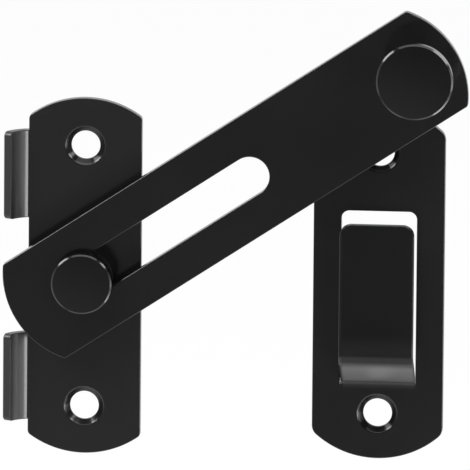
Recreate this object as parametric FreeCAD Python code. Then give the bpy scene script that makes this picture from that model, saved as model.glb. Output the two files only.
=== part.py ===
# Flip-over bar latch in black sheet metal: a base plate with two bent guide lugs, a slotted bar that
# swings and slides on a headed pivot post, a round knob, and a separate keeper with a lanced tongue.
# Millimetres. X to the right, Z up, Y into the wall. The backs of both plates lie on y = 0, and the
# origin is on the pivot axis. The bar is drawn level, with the pivot at its zero, and then raised.
import FreeCAD, Part
import math
import os

V = FreeCAD.Vector

# sheet metal
plate_sheet = 1.5
bar_sheet = 1.5
edge_round = 0.15

# base plate and keeper, with the same screw pattern
hole_pitch = 47.0
base_hole_to_end = 8.5
keeper_hole_to_end = 8.1
plate_end_radius = 16.5
base_width = 20.0
base_corner_round = 1.0
keeper_width = 23.15
keeper_corner_round = 2.2
keeper_distance = 52.0

# countersunk screw holes
screw_hole_dia = 5.1
countersink_dia = 7.0
countersink_rim_round = 0.3

# bent guide lugs on the left edge of the base plate
lug_length = 15.75
lug_gap = 20.7
lug_crease_angle = 20.0
lug_crease_radius = 0.4
lug_bend_angle = 63.0
lug_bend_radius = 4.7
lug_corner_round = 0.9

# bar
bar_angle = 33.7
bar_width = 20.0
bar_tail = 13.8
bar_nose = 78.2
bar_end_radius = 16.0
bar_corner_round = 0.8
bar_gap = 2.9
lug_clearance = 0.2
slot_width = 7.0
slot_travel = 35.3

# pivot post and its spacer
post_head_dia = 10.7
post_head_height = 2.75
post_head_chamfer = 0.27
post_head_crown = 0.08
slot_clearance = 0.2
tenon_dia = 5.0
turning_clearance = 0.05
play = 0.05
peen_depth = 0.95
spacer_dia = 10.0

# knob
knob_from_nose = 7.35
knob_dia = 13.5
knob_neck_dia = 9.0
knob_height = 10.8
knob_rim = 1.4
knob_chamfer = 0.3
knob_crown = 0.14
knob_tenon_dia = 6.0
knob_peen_dia = 8.0
knob_peen_height = 0.6

# keeper window and tongue
window_width = 13.3
window_top = 13.0
window_corner_round = 1.4
tongue_root = 18.3
tongue_side_gap = 0.1
tongue_end_gap = 1.35
tongue_clearance = 0.3
tongue_bend_angle = 52.0
tongue_bend_radius = 0.85
tongue_corner_round = 2.0

# heights in front of the wall, all negative along Y
plate_front = -plate_sheet
bar_back = plate_front - bar_gap
bar_front = bar_back - bar_sheet
tongue_back = bar_front - tongue_clearance
knob_distance = bar_nose - knob_from_nose
half_pitch = hole_pitch / 2


def disc(dia, y_start, y_end, x=0.0, z=0.0):
    """A cylinder along Y between two heights."""
    return Part.makeCylinder(dia / 2, y_end - y_start, V(x, y_start, z), V(0, 1, 0))


def cone(dia_start, dia_end, y_start, y_end, x=0.0, z=0.0):
    """A cone along Y between two heights."""
    return Part.makeCone(dia_start / 2, dia_end / 2, y_end - y_start, V(x, y_start, z), V(0, 1, 0))


def crown(dia, rise, y_face, x=0.0):
    """A shallow dome that rises forward from a flat round face."""
    radius = (dia * dia / 4 + rise * rise) / (2 * rise)
    ball = Part.makeSphere(radius, V(x, y_face - rise + radius, 0))
    return ball.common(disc(dia, y_face - rise, y_face, x))


def arc(a, b, c):
    """An edge through three points."""
    return Part.Arc(a, b, c).toShape()


def thickness_edges(solid, keep):
    """The straight edges that run along Y through the sheet, where keep(x, z) is true."""
    found = []
    for edge in solid.Edges:
        box = edge.BoundBox
        straight = box.XLength < 1e-6 and box.ZLength < 1e-6
        if straight and keep(box.XMin, box.ZMin):
            found.append(edge)
    return found


def front_edges(solid, height):
    """The edges that lie in the plane y = height."""
    found = []
    for edge in solid.Edges:
        box = edge.BoundBox
        if abs(box.YMin - height) < 1e-4 and abs(box.YMax - height) < 1e-4:
            found.append(edge)
    return found


def edges_above(solid, point):
    """The edges whose middle has the same X and Y as the point."""
    found = []
    for edge in solid.Edges:
        middle = edge.CenterOfMass
        if abs(middle.x - point.x) < 1e-4 and abs(middle.y - point.y) < 1e-4:
            found.append(edge)
    return found


def circles(edges, dia):
    """Those of the edges that are full circles of this diameter."""
    length = math.pi * dia
    return [edge for edge in edges if edge.isClosed() and abs(edge.Length - length) < 1e-3]


def blank(left, right, width, end_radius, corner_round, back, sheet):
    """A flat strip along X with an arc at each end and rounded corners."""
    half = width / 2
    sag = end_radius - math.sqrt(end_radius ** 2 - half ** 2)
    outline = Part.Wire([
        Part.makeLine(V(left + sag, back, -half), V(right - sag, back, -half)),
        arc(V(right - sag, back, -half), V(right, back, 0), V(right - sag, back, half)),
        Part.makeLine(V(right - sag, back, half), V(left + sag, back, half)),
        arc(V(left + sag, back, half), V(left, back, 0), V(left + sag, back, -half)),
    ])
    strip = Part.Face(outline).extrude(V(0, -sheet, 0))
    return strip.makeFillet(corner_round, thickness_edges(strip, lambda x, z: True))


def upright_plate(width, hole_to_end, corner_round):
    """The blank of the base plate or the keeper, standing along Z."""
    half_length = half_pitch + hole_to_end
    plate = blank(-half_length, half_length, width, plate_end_radius, corner_round, 0.0, plate_sheet)
    plate.rotate(V(0, 0, 0), V(0, 1, 0), 90)
    return plate.makeFillet(edge_round, front_edges(plate, plate_front))


def screw_hole(x, z):
    """A through hole with a 90 degree countersink from the front."""
    depth = (countersink_dia - screw_hole_dia) / 2
    drill = disc(screw_hole_dia, plate_front - 1, 1, x, z)
    sink = cone(countersink_dia, screw_hole_dia, plate_front, plate_front + depth, x, z)
    return drill.fuse(sink)


def with_screw_holes(plate, x):
    """The plate with its two countersunk holes, each rim rolled in by the punch."""
    for z in (-half_pitch, half_pitch):
        plate = plate.cut(screw_hole(x, z))
    rims = circles(front_edges(plate, plate_front), countersink_dia)
    return plate.makeFillet(countersink_rim_round, rims)


def lug(z_low, z_high):
    """One guide lug: the sheet turns forward in a short crease at the edge, then flares in a wide bend."""
    crease = math.radians(lug_crease_angle)
    turn = math.radians(lug_bend_angle)
    middle = (crease + turn) / 2
    start = -base_width / 2
    crease_rise = lug_crease_radius * (1 - math.cos(crease))
    bend_rise = lug_bend_radius * (math.cos(crease) - math.cos(turn))
    tip_height = bar_gap - lug_clearance
    straight = (tip_height - crease_rise - bend_rise) / math.sin(turn)

    def point(part_turn, along, depth):
        creased = min(part_turn, crease)
        x = start - lug_crease_radius * math.sin(creased)
        x -= lug_bend_radius * (math.sin(part_turn) - math.sin(creased))
        x -= along * math.cos(turn) + depth * math.sin(part_turn)
        y = plate_front - lug_crease_radius * (1 - math.cos(creased))
        y -= lug_bend_radius * (math.cos(creased) - math.cos(part_turn))
        y += depth * math.cos(part_turn) - along * math.sin(turn)
        return V(x, y, z_low)

    def surface(depth):
        return [
            arc(point(0, 0, depth), point(crease / 2, 0, depth), point(crease, 0, depth)),
            arc(point(crease, 0, depth), point(middle, 0, depth), point(turn, 0, depth)),
            Part.makeLine(point(turn, 0, depth), point(turn, straight, depth)),
        ]

    inner_tip = point(turn, straight, 0)
    outer_tip = point(turn, straight, plate_sheet)
    back_root = V(start + 1, 0, z_low)
    front_root = V(start + 1, plate_front, z_low)
    edges = [Part.makeLine(back_root, point(0, 0, plate_sheet))]
    edges += surface(plate_sheet)
    edges += [Part.makeLine(outer_tip, inner_tip)]
    edges += surface(0)
    edges += [Part.makeLine(point(0, 0, 0), front_root), Part.makeLine(front_root, back_root)]
    profile = Part.Wire(Part.__sortEdges__(edges))
    body = Part.Face(profile).extrude(V(0, 0, z_high - z_low))
    body = body.makeFillet(lug_corner_round, edges_above(body, (outer_tip + inner_tip) * 0.5))
    for tip in (inner_tip, outer_tip):
        body = body.makeFillet(edge_round, edges_above(body, tip))
    return body


def base_plate():
    plate = with_screw_holes(upright_plate(base_width, base_hole_to_end, base_corner_round), 0.0)
    plate = plate.cut(disc(tenon_dia + 2 * turning_clearance, plate_front - 1, 1))
    peen_sink = tenon_dia + 2 * turning_clearance + 2 * peen_depth
    plate = plate.cut(cone(tenon_dia + 2 * turning_clearance, peen_sink, -peen_depth, 0))
    near = lug_gap / 2
    far = near + lug_length
    plate = plate.fuse(lug(-far, -near)).fuse(lug(near, far))
    return plate.removeSplitter()


def tongue():
    """The tongue lanced out of the window: a joggle at its root, then flat and parallel to the plate."""
    turn = math.radians(tongue_bend_angle)
    inner = tongue_bend_radius
    outer = tongue_bend_radius + plate_sheet
    front = tongue_back - plate_sheet
    offset = plate_front - front
    straight = (offset - (inner + outer) * (1 - math.cos(turn))) / math.sin(turn)
    half = (window_width - 2 * tongue_side_gap) / 2
    left = keeper_distance - half
    z0 = -tongue_root
    z1 = z0 + (inner + outer) * math.sin(turn) + straight * math.cos(turn)
    end = window_top - tongue_end_gap

    def low(radius, part_turn, along=0.0):
        z = z0 + radius * math.sin(part_turn) + along * math.cos(turn)
        y = plate_front - inner + radius * math.cos(part_turn) - along * math.sin(turn)
        return V(left, y, z)

    def high(radius, part_turn):
        z = z1 - radius * math.sin(part_turn)
        y = tongue_back + inner - radius * math.cos(part_turn)
        return V(left, y, z)

    profile = Part.Wire([
        Part.makeLine(V(left, 0, z0 - 1), V(left, 0, z0)),
        arc(V(left, 0, z0), low(outer, turn / 2), low(outer, turn)),
        Part.makeLine(low(outer, turn), high(inner, turn)),
        arc(high(inner, turn), high(inner, turn / 2), high(inner, 0)),
        Part.makeLine(high(inner, 0), V(left, tongue_back, end)),
        Part.makeLine(V(left, tongue_back, end), V(left, front, end)),
        Part.makeLine(V(left, front, end), high(outer, 0)),
        arc(high(outer, 0), high(outer, turn / 2), high(outer, turn)),
        Part.makeLine(high(outer, turn), low(inner, turn)),
        arc(low(inner, turn), low(inner, turn / 2), V(left, plate_front, z0)),
        Part.makeLine(V(left, plate_front, z0), V(left, plate_front, z0 - 1)),
        Part.makeLine(V(left, plate_front, z0 - 1), V(left, 0, z0 - 1)),
    ])
    body = Part.Face(profile).extrude(V(2 * half, 0, 0))
    body = body.makeFillet(tongue_corner_round, thickness_edges(body, lambda x, z: z > end - 1e-6))
    return body.makeFillet(edge_round, front_edges(body, front))


def keeper_plate():
    plate = upright_plate(keeper_width, keeper_hole_to_end, keeper_corner_round)
    plate.translate(V(keeper_distance, 0, 0))
    plate = with_screw_holes(plate, keeper_distance)
    window = Part.makeBox(window_width, plate_sheet + 2, window_top + tongue_root,
                          V(keeper_distance - window_width / 2, plate_front - 1, -tongue_root))
    window = window.makeFillet(window_corner_round,
                               thickness_edges(window, lambda x, z: z > window_top - 1e-6))
    plate = plate.cut(window)
    inside = keeper_width / 2 - 1
    rim = []
    for edge in front_edges(plate, plate_front):
        middle = edge.CenterOfMass
        across = abs(middle.x - keeper_distance) < inside
        if across and -tongue_root + 1e-3 < middle.z < window_top + 1e-3:
            rim.append(edge)
    plate = plate.makeFillet(edge_round, rim)
    return plate.fuse(tongue()).removeSplitter()


def raised(shape):
    """Turn a level piece of the bar up to its rest angle about the pivot axis."""
    shape.rotate(V(0, 0, 0), V(0, -1, 0), bar_angle)
    return shape


def latch_bar():
    bar = blank(-bar_tail, bar_nose, bar_width, bar_end_radius, bar_corner_round, bar_back, bar_sheet)
    low = bar_front - 1
    depth = bar_sheet + 2
    slot = Part.makeBox(slot_travel, depth, slot_width, V(0, low, -slot_width / 2))
    slot = slot.fuse(disc(slot_width, low, low + depth))
    slot = slot.fuse(disc(slot_width, low, low + depth, slot_travel))
    bar = bar.cut(slot).removeSplitter()
    bar = bar.makeFillet(edge_round, front_edges(bar, bar_front))
    bar = bar.cut(disc(knob_tenon_dia, low, low + depth, knob_distance))
    return raised(bar)


def pivot_post():
    """Turned post: domed head, shank in the slot, tenon in the plate, tail peened at the back."""
    shank_dia = slot_width - 2 * slot_clearance
    head_back = bar_front - play
    head_front = head_back - post_head_height
    chamfer_end = head_front + post_head_chamfer
    peen_dia = tenon_dia + 2 * peen_depth
    face_dia = post_head_dia - 2 * post_head_chamfer
    post = cone(face_dia, post_head_dia, head_front, chamfer_end)
    post = post.fuse(crown(face_dia, post_head_crown, head_front))
    post = post.fuse(disc(post_head_dia, chamfer_end, head_back))
    post = post.fuse(disc(shank_dia, head_back, plate_front - play))
    post = post.fuse(disc(tenon_dia, plate_front - play, -play))
    post = post.fuse(cone(tenon_dia, peen_dia, -peen_depth, 0).cut(disc(peen_dia + 2, -play, 1)))
    return raised(post.removeSplitter())


def spacer_washer():
    """Loose ring on the shank that holds the bar off the plate."""
    bore = slot_width - 2 * slot_clearance + 2 * turning_clearance
    ring = disc(spacer_dia, bar_back + play, plate_front - play)
    return raised(ring.cut(disc(bore, bar_back - 1, plate_front + 1)))


def knob():
    """Turned knob, widest at its slightly domed face; its tenon goes through the bar and is peened behind."""
    front = bar_front - knob_height
    chamfer_end = front + knob_chamfer
    rim_end = front + knob_rim
    face_dia = knob_dia - 2 * knob_chamfer
    body = cone(face_dia, knob_dia, front, chamfer_end, knob_distance)
    body = body.fuse(crown(face_dia, knob_crown, front, knob_distance))
    body = body.fuse(disc(knob_dia, chamfer_end, rim_end, knob_distance))
    body = body.fuse(cone(knob_dia, knob_neck_dia, rim_end, bar_front, knob_distance))
    body = body.fuse(disc(knob_tenon_dia, bar_front, bar_back, knob_distance))
    body = body.fuse(disc(knob_peen_dia, bar_back, bar_back + knob_peen_height, knob_distance))
    return raised(body.removeSplitter())


pieces = {
    "base_plate": base_plate(),
    "keeper_plate": keeper_plate(),
    "pivot_post": pivot_post(),
    "spacer_washer": spacer_washer(),
    "latch_bar": latch_bar(),
    "knob": knob(),
}
os.makedirs("parts", exist_ok=True)
for name, shape in pieces.items():
    shape.exportStep("parts/" + name + ".step")
    print(name, "solids", len(shape.Solids), "valid", shape.isValid(), "volume", round(shape.Volume, 2))
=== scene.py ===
"""Looks of the flip-over bar latch: its black coats, the studio light and the camera."""
import math

import bmesh
import bpy
from mathutils import Matrix, Vector

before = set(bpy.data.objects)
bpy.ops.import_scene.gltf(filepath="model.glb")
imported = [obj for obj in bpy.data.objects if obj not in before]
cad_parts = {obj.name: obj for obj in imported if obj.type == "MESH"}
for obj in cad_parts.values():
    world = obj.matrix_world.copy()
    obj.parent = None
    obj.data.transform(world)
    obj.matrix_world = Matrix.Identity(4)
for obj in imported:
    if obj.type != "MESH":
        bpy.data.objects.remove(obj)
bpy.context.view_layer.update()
scene = bpy.context.scene

# camera, fitted to the photograph: angles in degrees, lengths in metres
image_side = 470
sensor_width = 36.0
view_azimuth = 4.5585
view_elevation = 11.9902
view_roll = 0.4825
view_distance = 2.5
view_target = Vector((0.0264277, 0.0, 0.0077758))
pixels_per_metre = 5670.4

# floor, well below the latch
floor_height = -0.16
floor_side = 1.8
floor_centre = Vector((0.03, 0.60, floor_height))
floor_grey = 0.8
floor_white = 1.15
floor_white_share = 0.8

# light of the room, as multiples of white. Its front grows dark towards front_dark_side. The fades
# are measured along that direction and, for the light behind the latch, along Y.
fill_strength = 0.30
front_low = 0.60
front_level = 0.018
front_dark_side = (0.45, 0.0, 0.89)
front_fade = (-0.52, -0.04)
behind_fade = (-0.14, 0.10)

# lamps: azimuth to the right and elevation in degrees, distance, width and height in metres,
# and brightness as a multiple of white
lamps = {
    "right_panel": (37, -14, 0.40, 0.14, 0.12, 8.4),
    "right_rear_panel": (60, -12, 0.42, 0.16, 0.12, 2.7),
    "side_panel": (86, -3, 0.50, 0.07, 0.36, 3.6),
    "low_side_panel": (98, -46, 0.20, 0.06, 0.18, 5.4),
    "upper_right_panel": (70, 40.6, 0.108, 0.030, 0.036, 7.8),
    "upper_left_panel": (-67, 38, 0.55, 0.42, 0.21, 9.0),
    "top_panel": (0, 62, 0.60, 0.70, 0.40, 2.1),
    "low_panel": (16, -71, 0.20, 0.20, 0.15, 1.4),
}

# coats: name, the two blacks, roughness and how far it varies, IOR, and the orange peel's
# width and depth in metres
coats = {
    "base_plate": ("satin_base_coat", (0.0100, 0.0101, 0.0108), (0.0122, 0.0123, 0.0131),
                   0.17, 0.02, 1.56, 0.0006, 0.000004),
    "keeper_plate": ("satin_keeper_coat", (0.0045, 0.0046, 0.0050), (0.0063, 0.0064, 0.0070),
                     0.19, 0.02, 1.58, 0.0006, 0.000004),
    "latch_bar": ("satin_bar_coat", (0.0044, 0.0045, 0.0049), (0.0060, 0.0061, 0.0067),
                  0.16, 0.02, 1.58, 0.0006, 0.000004),
    "pivot_post": ("satin_post_coat", (0.0041, 0.0042, 0.0046), (0.0057, 0.0058, 0.0063),
                   0.16, 0.02, 1.54, 0.0004, 0.000003),
    "knob": ("satin_knob_coat", (0.0041, 0.0042, 0.0046), (0.0057, 0.0058, 0.0063),
             0.16, 0.02, 1.54, 0.0004, 0.000003),
    "spacer_washer": ("dull_spacer_coat", (0.0075, 0.0076, 0.0082), (0.0105, 0.0106, 0.0113),
                      0.40, 0.05, 1.55, 0.0004, 0.000004),
}
cloud_scale = 55.0
dust_scale = 5200.0
dust_share = 0.3
noise_range = (0.3, 0.7)

# where a coat differs within one piece. Each pair is a place in metres where the change begins
# and one where it is complete.
# the tongue's face: painted shade by a lower IOR; its foot: a painted highlight by a higher IOR
tongue_front = (-0.0058, -0.0070)
tongue_inside = (0.0458, 0.0460)
tongue_shade_ior = 1.39
foot_top = (-0.0078, -0.0108)
foot_end = (-0.0126, -0.0116)
foot_highlight_ior = 1.62
# the slope between the tongue's bends: a painted highlight by a much higher IOR, and a higher
# roughness at its bends
slope_left = (0.0454, 0.0462)
slope_right = (0.0590, 0.0582)
slope_top = (-0.0115, -0.0125)
slope_end = (-0.0194, -0.0181)
slope_soft = (-0.0077, -0.0071)
slope_front = (-0.0076, -0.0056)
slope_back = (-0.0016, -0.0023)
slope_highlight_ior = 3.4
slope_roughness = 0.45
neck_start = (-0.0153, -0.0143)
neck_roughness = 0.65
lug_root = (-0.0104, -0.0108)
lug_roughness = 0.36
# the countersinks, around the holes at this height: painted shade by a lower IOR
hole_height = 0.0235
keeper_centre = 0.0520
countersink_rim = (0.0036, 0.0033)
countersink_back = (-0.0002, -0.0005)
countersink_shade_ior = 1.33


def node(tree, kind, place, **settings):
    """A node of one kind, with its settings made and its plain inputs filled in."""
    made = tree.nodes.new(kind)
    made.location = place
    for key, value in settings.items():
        if key in made.inputs:
            made.inputs[key].default_value = value
        else:
            setattr(made, key, value)
    return made


def material(name):
    """An empty node material and its tree."""
    made = bpy.data.materials.new(name)
    made.use_nodes = True
    made.node_tree.nodes.clear()
    return made, made.node_tree


def mapped(tree, source, low, high, place, span=noise_range, interpolation="LINEAR"):
    """A value that runs from low to high while the source runs over the span."""
    stretch = node(tree, "ShaderNodeMapRange", place, interpolation_type=interpolation)
    stretch.inputs["From Min"].default_value = span[0]
    stretch.inputs["From Max"].default_value = span[1]
    stretch.inputs["To Min"].default_value = low
    stretch.inputs["To Max"].default_value = high
    tree.links.new(source, stretch.inputs["Value"])
    return stretch.outputs["Result"]


def share(tree, source, span, place):
    """A value that runs smoothly from 0 to 1 while the source runs over the span."""
    return mapped(tree, source, 0.0, 1.0, place, span, "SMOOTHSTEP")


def black_coat(name, dark, pale, roughness, spread, gloss, peel_size, peel_depth):
    """Satin black coat on steel: two close blacks, an uneven sheen and a fine orange peel."""
    made, tree = material(name)
    link = tree.links.new
    place = node(tree, "ShaderNodeTexCoord", (-1100, 0)).outputs["Object"]
    cloud = node(tree, "ShaderNodeTexNoise", (-900, 300), Scale=cloud_scale, Detail=3.0)
    grain = node(tree, "ShaderNodeTexNoise", (-900, 0), Scale=1.0 / peel_size, Detail=2.0)
    dust = node(tree, "ShaderNodeTexNoise", (-900, -300), Scale=dust_scale, Detail=1.0)
    for texture in (cloud, grain, dust):
        link(place, texture.inputs["Vector"])
    tone = node(tree, "ShaderNodeMix", (-450, 300), data_type="RGBA")
    tone.inputs["A"].default_value = (*dark, 1)
    tone.inputs["B"].default_value = (*pale, 1)
    link(mapped(tree, cloud.outputs["Fac"], 0.0, 1.0, (-680, 300)), tone.inputs["Factor"])
    height = node(tree, "ShaderNodeMath", (-680, -150), operation="MULTIPLY_ADD")
    height.inputs[1].default_value = dust_share
    link(dust.outputs["Fac"], height.inputs[0])
    link(grain.outputs["Fac"], height.inputs[2])
    bump = node(tree, "ShaderNodeBump", (-450, -150), Strength=1.0, Distance=peel_depth)
    link(height.outputs["Value"], bump.inputs["Height"])
    coat = node(tree, "ShaderNodeBsdfPrincipled", (-150, 100), Metallic=0.0, IOR=gloss)
    link(tone.outputs["Result"], coat.inputs["Base Color"])
    sheen = mapped(tree, cloud.outputs["Fac"], roughness - spread, roughness + spread, (-450, 100))
    link(sheen, coat.inputs["Roughness"])
    link(bump.outputs["Normal"], coat.inputs["Normal"])
    end = node(tree, "ShaderNodeOutputMaterial", (150, 100))
    link(coat.outputs["BSDF"], end.inputs["Surface"])
    return made, tree, place, coat


def blend(tree, coat, socket, part, value, place):
    """Leads one input of a coat to a value where part is 1."""
    entry = coat.inputs[socket]
    mix = node(tree, "ShaderNodeMix", place, data_type="FLOAT")
    mix.inputs["B"].default_value = value
    tree.links.new(part, mix.inputs["Factor"])
    if entry.is_linked:
        tree.links.new(entry.links[0].from_socket, mix.inputs["A"])
    else:
        mix.inputs["A"].default_value = entry.default_value
    tree.links.new(mix.outputs["Result"], entry)


def product(tree, factors, place):
    """Several 0 to 1 values multiplied."""
    total = factors[0]
    for step, factor in enumerate(factors[1:]):
        both = node(tree, "ShaderNodeMath", (place[0] + 160 * step, place[1]), operation="MULTIPLY")
        tree.links.new(total, both.inputs[0])
        tree.links.new(factor, both.inputs[1])
        total = both.outputs["Value"]
    return total


def axes(tree, place):
    """The X, Y and Z of a place on a piece."""
    split = node(tree, "ShaderNodeSeparateXYZ", (-1100, -600))
    tree.links.new(place, split.inputs["Vector"])
    return split.outputs["X"], split.outputs["Y"], split.outputs["Z"]


def paint_tongue_shade_and_foot_highlight(tree, place, coat):
    """Painted shade: the tongue's face gets a lower IOR than the plate, so it reflects less and
    looks darker, except at its foot, just above the upper bend, where a higher IOR paints a
    highlight.
    """
    x, y, z = axes(tree, place)
    front = share(tree, y, tongue_front, (-900, -1600))
    inside = share(tree, x, tongue_inside, (-900, -1850))
    face = product(tree, (front, inside), (-650, -1600))
    blend(tree, coat, "IOR", face, tongue_shade_ior, (-450, -1600))
    top = share(tree, z, foot_top, (-900, -2600))
    end = share(tree, z, foot_end, (-900, -2850))
    foot = product(tree, (face, top, end), (-650, -2600))
    blend(tree, coat, "IOR", foot, foot_highlight_ior, (-450, -2600))


def soften_slope_and_paint_highlight(tree, place, coat):
    """Painted highlight: the slope between the tongue's two bends gets a much higher IOR, so it
    reflects more and looks paler; its bends also get a higher roughness, which softens the sheen.
    """
    x, y, z = axes(tree, place)
    top = share(tree, z, slope_top, (-900, -350))
    end = share(tree, z, slope_end, (-900, -2100))
    left = share(tree, x, slope_left, (-900, -1100))
    right = share(tree, x, slope_right, (-900, -1350))
    soft = share(tree, y, slope_soft, (-900, -2350))
    bends = product(tree, (soft, top, end, left, right), (-700, -700))
    front = share(tree, y, slope_front, (-900, -600))
    back = share(tree, y, slope_back, (-900, -850))
    slope = product(tree, (bends, front, back), (-60, -850))
    blend(tree, coat, "IOR", slope, slope_highlight_ior, (-300, -700))
    blend(tree, coat, "Roughness", bends, slope_roughness, (-300, -500))


def paint_countersink_shade(tree, place, coat, centre):
    """Painted shade: the countersinks get a lower IOR than the face around them, so they reflect
    less and look darker.
    """
    mirrored = node(tree, "ShaderNodeVectorMath", (-1100, -2000), operation="ABSOLUTE")
    tree.links.new(place, mirrored.inputs[0])
    apart = node(tree, "ShaderNodeVectorMath", (-900, -2000), operation="DISTANCE")
    apart.inputs[1].default_value = (centre, 0.0, hole_height)
    tree.links.new(mirrored.outputs["Vector"], apart.inputs[0])
    near = share(tree, apart.outputs["Value"], countersink_rim, (-700, -2000))
    inside = share(tree, axes(tree, place)[1], countersink_back, (-700, -2250))
    countersink = product(tree, (near, inside), (-500, -2000))
    blend(tree, coat, "IOR", countersink, countersink_shade_ior, (-300, -2000))


def coat_the_pieces():
    """Gives every piece its coat, and then its differences by place: painted shade and painted
    highlight by IOR, and roughness.
    """
    finishes = {piece: black_coat(*row) for piece, row in coats.items()}
    for piece, finish in finishes.items():
        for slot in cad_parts[piece].material_slots:
            slot.material = finish[0]
    tree, place, coat = finishes["base_plate"][1:]
    lug = share(tree, axes(tree, place)[0], lug_root, (-900, -600))
    blend(tree, coat, "Roughness", lug, lug_roughness, (-300, -400))
    paint_countersink_shade(tree, place, coat, 0.0)
    tree, place, coat = finishes["keeper_plate"][1:]
    paint_tongue_shade_and_foot_highlight(tree, place, coat)
    soften_slope_and_paint_highlight(tree, place, coat)
    paint_countersink_shade(tree, place, coat, keeper_centre)
    tree, place, coat = finishes["knob"][1:]
    neck = share(tree, axes(tree, place)[1], neck_start, (-900, -600))
    blend(tree, coat, "Roughness", neck, neck_roughness, (-300, -400))


def seen_light(tree, place):
    """Light Path, and 1 for the rays that show the background: camera, glossy and transmission."""
    path = node(tree, "ShaderNodeLightPath", place)
    first = node(tree, "ShaderNodeMath", (place[0] + 200, place[1]), operation="MAXIMUM")
    second = node(tree, "ShaderNodeMath", (place[0] + 400, place[1]), operation="MAXIMUM")
    tree.links.new(path.outputs["Is Camera Ray"], first.inputs[0])
    tree.links.new(path.outputs["Is Glossy Ray"], first.inputs[1])
    tree.links.new(first.outputs["Value"], second.inputs[0])
    tree.links.new(path.outputs["Is Transmission Ray"], second.inputs[1])
    return path, second.outputs["Value"]


def studio_world():
    """White to the camera, and in reflections white behind the latch, dark in front of it, and
    lighter again towards the floor. It fills in plainly where it only lights."""
    world = bpy.data.worlds.new("studio")
    scene.world = world
    world.use_nodes = True
    tree = world.node_tree
    tree.nodes.clear()
    link = tree.links.new
    path, seen = seen_light(tree, (-1100, 400))
    direction = node(tree, "ShaderNodeTexCoord", (-1100, -100)).outputs["Generated"]
    split = node(tree, "ShaderNodeSeparateXYZ", (-900, 50))
    link(direction, split.inputs["Vector"])
    slope = node(tree, "ShaderNodeVectorMath", (-900, -250), operation="DOT_PRODUCT")
    slope.inputs[1].default_value = front_dark_side
    link(direction, slope.inputs[0])
    behind = share(tree, split.outputs["Y"], behind_fade, (-700, 50))
    front = mapped(tree, slope.outputs["Value"], front_low, front_level, (-700, -250),
                   front_fade, "SMOOTHSTEP")
    around = node(tree, "ShaderNodeMix", (-450, 0), data_type="FLOAT")
    around.inputs["B"].default_value = 1.0
    link(behind, around.inputs["Factor"])
    link(front, around.inputs["A"])
    direct = node(tree, "ShaderNodeMix", (-250, 150), data_type="FLOAT")
    direct.inputs["B"].default_value = 1.0
    link(path.outputs["Is Camera Ray"], direct.inputs["Factor"])
    link(around.outputs["Result"], direct.inputs["A"])
    strength = node(tree, "ShaderNodeMix", (-50, 250), data_type="FLOAT")
    strength.inputs["A"].default_value = fill_strength
    link(seen, strength.inputs["Factor"])
    link(direct.outputs["Result"], strength.inputs["B"])
    light = node(tree, "ShaderNodeBackground", (150, 250), Color=(1, 1, 1, 1))
    link(strength.outputs["Result"], light.inputs["Strength"])
    end = node(tree, "ShaderNodeOutputWorld", (350, 250))
    link(light.outputs["Background"], end.inputs["Surface"])


def pale_floor():
    """A plain pale floor that shows white and keeps the shadow of the latch."""
    mesh = bpy.data.meshes.new("floor")
    shape = bmesh.new()
    bmesh.ops.create_grid(shape, x_segments=1, y_segments=1, size=floor_side / 2)
    bmesh.ops.translate(shape, verts=shape.verts, vec=floor_centre)
    shape.to_mesh(mesh)
    shape.free()
    floor = bpy.data.objects.new("floor", mesh)
    scene.collection.objects.link(floor)
    made, tree = material("pale_floor")
    link = tree.links.new
    seen = seen_light(tree, (-700, 300))[1]
    glow = node(tree, "ShaderNodeMath", (-100, 300), operation="MULTIPLY")
    glow.inputs[1].default_value = floor_white_share
    link(seen, glow.inputs[0])
    matt = node(tree, "ShaderNodeBsdfDiffuse", (-100, 100),
                Color=(floor_grey, floor_grey, floor_grey, 1))
    white = node(tree, "ShaderNodeEmission", (-100, -50), Color=(1, 1, 1, 1),
                 Strength=floor_white)
    mix = node(tree, "ShaderNodeMixShader", (100, 100))
    link(glow.outputs["Value"], mix.inputs["Fac"])
    link(matt.outputs["BSDF"], mix.inputs[1])
    link(white.outputs["Emission"], mix.inputs[2])
    end = node(tree, "ShaderNodeOutputMaterial", (300, 100))
    link(mix.outputs["Shader"], end.inputs["Surface"])
    mesh.materials.append(made)


def soft_panel(name, azimuth, elevation, distance, width, height, brightness):
    """A soft light panel that faces the latch, and that the camera doesn't see."""
    turn = math.radians(azimuth)
    rise = math.radians(elevation)
    out = Vector((math.sin(turn) * math.cos(rise), -math.cos(turn) * math.cos(rise),
                  math.sin(rise)))
    lamp = bpy.data.lights.new(name, "AREA")
    lamp.shape = "RECTANGLE"
    lamp.size = width
    lamp.size_y = height
    lamp.energy = brightness * math.pi * width * height
    holder = bpy.data.objects.new(name, lamp)
    scene.collection.objects.link(holder)
    holder.location = view_target + out * distance
    holder.rotation_euler = (-out).to_track_quat("-Z", "Y").to_euler()
    holder.visible_camera = False


def photo_camera():
    """The camera that took the photograph, square to its line of sight."""
    turn = math.radians(view_azimuth)
    rise = math.radians(view_elevation)
    lean = math.radians(view_roll)
    forward = Vector((-math.sin(turn) * math.cos(rise), math.cos(turn) * math.cos(rise),
                      -math.sin(rise)))
    level = Vector((math.cos(turn), math.sin(turn), 0.0))
    upright = level.cross(forward)
    right = math.cos(lean) * level + math.sin(lean) * upright
    top = -math.sin(lean) * level + math.cos(lean) * upright
    lens = bpy.data.cameras.new("photo_camera")
    lens.sensor_width = sensor_width
    lens.lens = sensor_width * pixels_per_metre * view_distance / image_side
    lens.clip_start = 0.05
    lens.clip_end = 20.0
    camera = bpy.data.objects.new("photo_camera", lens)
    scene.collection.objects.link(camera)
    turned = Matrix((right, top, -forward)).transposed().to_4x4()
    camera.matrix_world = Matrix.Translation(view_target - forward * view_distance) @ turned
    scene.camera = camera


coat_the_pieces()
studio_world()
pale_floor()
for lamp_name, lamp_row in lamps.items():
    soft_panel(lamp_name, *lamp_row)
photo_camera()
scene.view_settings.view_transform = "Standard"
